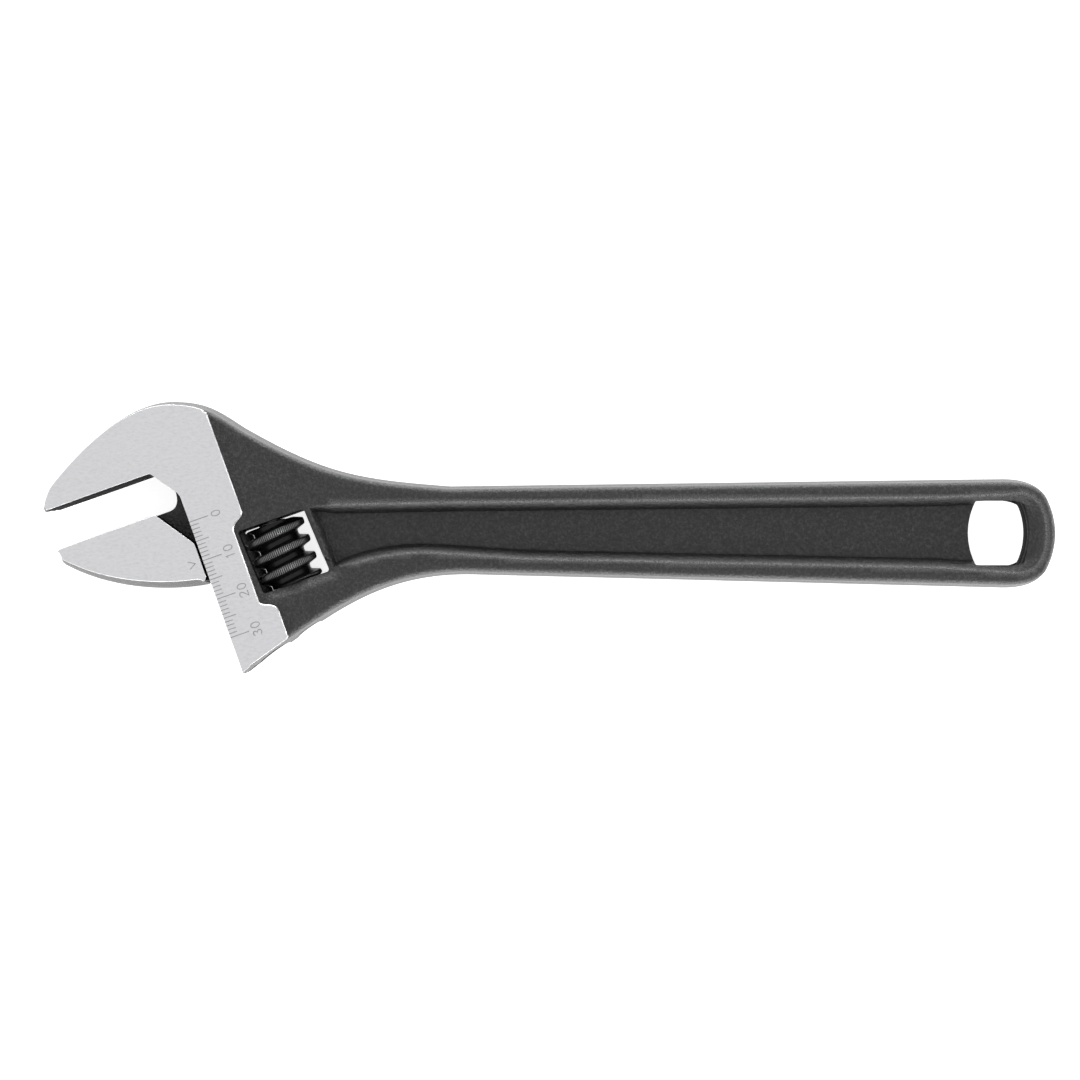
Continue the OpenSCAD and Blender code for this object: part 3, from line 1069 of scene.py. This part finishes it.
def product(tree, one, other):
    """Two values multiplied."""
    made = tree.nodes.new("ShaderNodeMath")
    made.operation = "MULTIPLY"
    put(tree, one, made.inputs[0])
    put(tree, other, made.inputs[1])
    return made.outputs[0]


def mixed(tree, share, low, high):
    """A blend of two colours, low where the share is 0 and high where it is 1."""
    made = tree.nodes.new("ShaderNodeMix")
    made.data_type = "RGBA"
    for index, value in ((0, share), (6, low), (7, high)):
        put(tree, value, made.inputs[index])
    return made.outputs[2]


def bump(tree, height, strength, distance, before=None):
    """A bump over a height, after another one."""
    made = node(tree, "ShaderNodeBump", Height=height, Strength=strength, Distance=distance)
    if before is not None:
        feed(tree, made, Normal=before)
    return made.outputs["Normal"]


def phosphate():
    """Black phosphate over a blasted forging: dark, finely pitted, bare where worn, and painted
    light grey as a highlight along its edges.
    """
    mat, tree, bsdf = new_material("black_phosphate")
    place = position(tree)
    blotch = noise(tree, place, 420.0, 4.0, 0.6)
    speck = noise(tree, place, 1300.0, 5.0, 0.75)
    grain = noise(tree, place, 3600.0, 3.0, 0.6)
    pits = node(tree, "ShaderNodeTexVoronoi", Vector=place, Scale=1500.0).outputs["Distance"]
    skin = ramp(tree, speck, [(0.34, 0.004), (0.5, 0.013), (0.64, 0.036)])
    # Light grey where the attribute is high: partly real bare metal, partly a painted highlight on
    # the forging's edges.
    bare_and_highlight_share = product(tree, wear(tree), scaled(tree, grain, 0.2, 1.0, 0.42, 0.62))
    uneven = bump(tree, pits, 0.8, 0.0002, bump(tree, blotch, 0.6, 0.0003))
    feed(tree, bsdf, Base_Color=mixed(tree, bare_and_highlight_share, skin, grey(0.22)),
         Roughness=scaled(tree, grain, 0.30, 0.44), Normal=bump(tree, grain, 1.0, 0.00016, uneven),
         Specular_IOR_Level=0.55)
    return mat


def machined_steel():
    """Dark dull walls left by the cutter."""
    mat, tree, bsdf = new_material("machined_steel")
    lines = noise(tree, position(tree, (1.0, 1.0, 9.0)), 700.0, 3.0, 0.6)
    feed(tree, bsdf, Base_Color=ramp(tree, lines, [(0.3, 0.006), (0.7, 0.016)]),
         Roughness=scaled(tree, lines, 0.7, 0.85), Normal=bump(tree, lines, 0.3, 0.00005),
         Specular_IOR_Level=0.05)
    return mat


def ground_steel():
    """Flat ground steel: even satin with a very fine grain across the head."""
    mat, tree, bsdf = new_material("ground_steel")
    lines = noise(tree, position(tree, (1.0, 16.0, 1.0), -jaw_angle), 420.0, 4.0, 0.6)
    fine = noise(tree, position(tree), 2600.0, 2.0, 0.5)
    cloud = noise(tree, position(tree, (1.0, 2.0, 1.0), -jaw_angle), 900.0, 5.0, 0.7)
    grain = bump(tree, fine, 0.12, 0.00004, bump(tree, lines, 0.12, 0.00006))
    feed(tree, bsdf, Base_Color=ramp(tree, cloud, [(0.3, 0.70), (0.5, 0.78), (0.7, 0.82)]),
         Roughness=scaled(tree, lines, 0.30, 0.42), Normal=grain, Metallic=1.0)
    return mat


def etched_steel():
    """The floor of an engraved line."""
    mat, tree, bsdf = new_material("engraved_steel")
    fine = noise(tree, position(tree), 3000.0)
    feed(tree, bsdf, Base_Color=ramp(tree, fine, [(0.3, 0.50), (0.7, 0.60)]), Metallic=0.7,
         Roughness=0.6)
    return mat


def oiled_steel(name, dark, bright):
    """Dark oiled steel, bright where it is worn."""
    mat, tree, bsdf = new_material(name)
    blotch = noise(tree, position(tree), 900.0, 4.0, 0.6)
    grain = noise(tree, position(tree), 4200.0, 2.0, 0.5)
    oiled = ramp(tree, blotch, [(0.3, dark * 0.8), (0.7, dark * 1.3)])
    bare = ramp(tree, grain, [(0.3, bright * 0.75), (0.7, bright * 1.15)])
    feed(tree, bsdf, Base_Color=mixed(tree, wear(tree), oiled, bare),
         Roughness=scaled(tree, blotch, 0.28, 0.45), Normal=bump(tree, grain, 0.3, 0.00006),
         Metallic=0.75)
    return mat


def paint_faces(obj, kinds, pick):
    """Gives an object several materials, and each face the one that pick names."""
    obj.data.materials.clear()
    for mat in kinds:
        obj.data.materials.append(mat)
    count = len(obj.data.polygons)
    centre = np.empty(count * 3)
    normal = np.empty(count * 3)
    obj.data.polygons.foreach_get("center", centre)
    obj.data.polygons.foreach_get("normal", normal)
    obj.data.polygons.foreach_set("material_index", pick(
        centre.reshape(-1, 3) / MM, normal.reshape(-1, 3)).astype(np.int32))
    obj.data.update()


def cover(obj, mat):
    """Gives an object one material."""
    paint_faces(obj, [mat], lambda centre, normal: np.zeros(len(centre)))


def set_wear(obj, value):
    """Writes how worn each vertex is, with any painted highlight, from a function of the vertices'
    places.
    """
    count = len(obj.data.vertices)
    co = np.empty(count * 3)
    obj.data.vertices.foreach_get("co", co)
    layer = obj.data.attributes.new("wear", "FLOAT", "POINT")
    layer.data.foreach_set("value", value(co.reshape(-1, 3) / MM).astype(np.float32))


def forging_wear(points):
    """Real edge wear mixed with painted highlight: high along the forging's outer edge, the
    recess's upper edge and the window's lower lip, where bands of light are painted, and low on
    the ridge between window and recess, which is left dark."""
    flat = points[:, :2]
    x, y = to_head(flat).T
    outer = edge_distance(flat, outline_of_body)
    inner = edge_distance(flat, outline_of_recess) + recess_width(flat)
    on_handle = smooth((x - 31.5) / 4)
    beside = smooth((x - 11.5) / 2) * smooth((31.5 - x) / 3)
    # The bright band along the window's lower lip is a painted highlight.
    lip = 0.5 * beside * np.exp(-((WINDOW_Y[0] - 1.3 - y) / 0.9) ** 2)
    return (0.6 * np.exp(-((outer - 1.0) / 0.7) ** 2)
            + on_handle * np.exp(-((inner - 0.3) / 0.38) ** 2) + lip)


def even_wear(share):
    """The same wear everywhere, for set_wear."""
    return lambda points: np.full(len(points), float(share))


def crest_wear(points):
    """High on the crests of the worm's knurl."""
    x = to_head(points[:, :2])[:, 0] - worm_x
    radius = np.hypot(x, points[:, 2] - mid_z)
    return smooth((radius - WORM_R + 0.14) / 0.12)


def head_faces(outline):
    """A pick for paint_faces inside an outline, which names one of head_kinds: 1 on
    ground faces, 2 on engraved floors, 3 on upright walls, and 0 elsewhere."""
    def pick(centre, normal):
        below = half_t - tip_loss(centre[:, :2]) - np.abs(centre[:, 2] - mid_z)
        inside = edge_distance(centre[:, :2], outline)
        up = np.abs(normal[:, 2])
        ground = (inside > -GROUND_STEP - 0.02) & (below < 0.35) & (up > 0.3)
        etched = (inside > 0) & (below > 0.1) & (below < 0.2) & (up > 0.95)
        return np.select([etched, ground, up < 0.05], [2, 1, 3], 0)
    return pick


# ---------------------------------------------------------------- scene

CAMERA_PLACE = (-0.0023, -0.00065)
CAMERA_ABOVE_HEAD = 0.600
CAMERA_VIEW_DEG = 25.14
SENSOR_W = 36.0
WORLD_LIGHT = 0.80
FLOOR_GLOW = 0.8
FLOOR_HALF_SIZE = 3000
FLOOR_GAP = 0.05
LIGHT_Z = 0.13
STRIP = (1.6, 0.16)
SHORT_STRIP = (0.7, 0.16)


def add_camera():
    """Straight above the middle of the wrench."""
    data = bpy.data.cameras.new("camera")
    cam = bpy.data.objects.new("camera", data)
    bpy.context.scene.collection.objects.link(cam)
    data.sensor_width = SENSOR_W
    data.lens = SENSOR_W / 2 / math.tan(math.radians(CAMERA_VIEW_DEG) / 2)
    data.clip_start = 0.01
    cam.location = (*CAMERA_PLACE, mid_z * MM + CAMERA_ABOVE_HEAD)
    bpy.context.scene.camera = cam


def add_area(name, place, size, power):
    """A soft rectangular light that faces the origin."""
    data = bpy.data.lights.new(name, "AREA")
    data.shape = "RECTANGLE"
    data.size, data.size_y = size
    data.energy = power
    lamp = bpy.data.objects.new(name, data)
    bpy.context.scene.collection.objects.link(lamp)
    lamp.location = place
    lamp.rotation_euler = (-Vector(place)).to_track_quat("-Z", "Y").to_euler()


def add_floor():
    """A plain pale floor, bright enough to show white."""
    z = cad_box[0][2] / MM - FLOOR_GAP
    corners = [(x * FLOOR_HALF_SIZE, y * FLOOR_HALF_SIZE, z)
               for x, y in ((-1, -1), (1, -1), (1, 1), (-1, 1))]
    floor = new_object("floor", corners, [[0, 1, 2, 3]])
    mat, tree, bsdf = new_material("pale_floor")
    feed(tree, bsdf, Base_Color=(0.93, 0.93, 0.93, 1), Roughness=0.9,
         Emission_Color=(1, 1, 1, 1), Emission_Strength=FLOOR_GLOW)
    floor.data.materials.append(mat)


def add_world():
    """Even white surroundings."""
    world = bpy.data.worlds.new("studio")
    world.use_nodes = True
    tree = world.node_tree
    feed(tree, tree.nodes["Background"], Color=(1, 1, 1, 1), Strength=WORLD_LIGHT)
    bpy.context.scene.world = world


def finish_piece(obj, body, node_name):
    """Shades a piece, ties it to its body, and hides the imported part of its node."""
    shade(obj)
    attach(obj, body)
    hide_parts(node_name)


add_camera()
add_world()
add_floor()
add_area("side_far", (0.0, 1.1, LIGHT_Z), STRIP, 11.0)
add_area("side_near", (0.0, -1.1, LIGHT_Z), STRIP, 11.0)
add_area("end_left", (-1.1, 0.0, LIGHT_Z), SHORT_STRIP, 2.0)
add_area("end_right", (1.1, 0.0, LIGHT_Z), SHORT_STRIP, 5.0)
bpy.context.scene.view_settings.view_transform = "Standard"

head_kinds = [phosphate(), ground_steel(), etched_steel(), machined_steel()]

body = build_body()
paint_faces(body, head_kinds, head_faces(outline_of_ground))
# The forging's attribute carries a painted highlight along its edges as well as wear.
set_wear(body, forging_wear)
finish_piece(body, "frame", "body")

jaw = build_jaw()
hook_area = np.array([on_jaw(x, y) for x, y in hook_outline()[0]])
paint_faces(jaw, head_kinds, head_faces(hook_area))
set_wear(jaw, even_wear(0))
finish_piece(jaw, "jaw", "sliding_jaw")

worm = build_worm()
set_wear(worm, crest_wear)
cover(worm, oiled_steel("worm_steel", 0.022, 0.26))
finish_piece(worm, "worm", "worm")

pin = build_pin()
set_wear(pin, even_wear(0.35))
cover(pin, oiled_steel("pin_steel", 0.10, 0.4))
finish_piece(pin, "frame", "worm_pin")

spring = build_spring()
set_wear(spring, even_wear(0.6))
cover(spring, oiled_steel("spring_steel", 0.2, 0.5))
finish_piece(spring, "frame", "worm_spring")
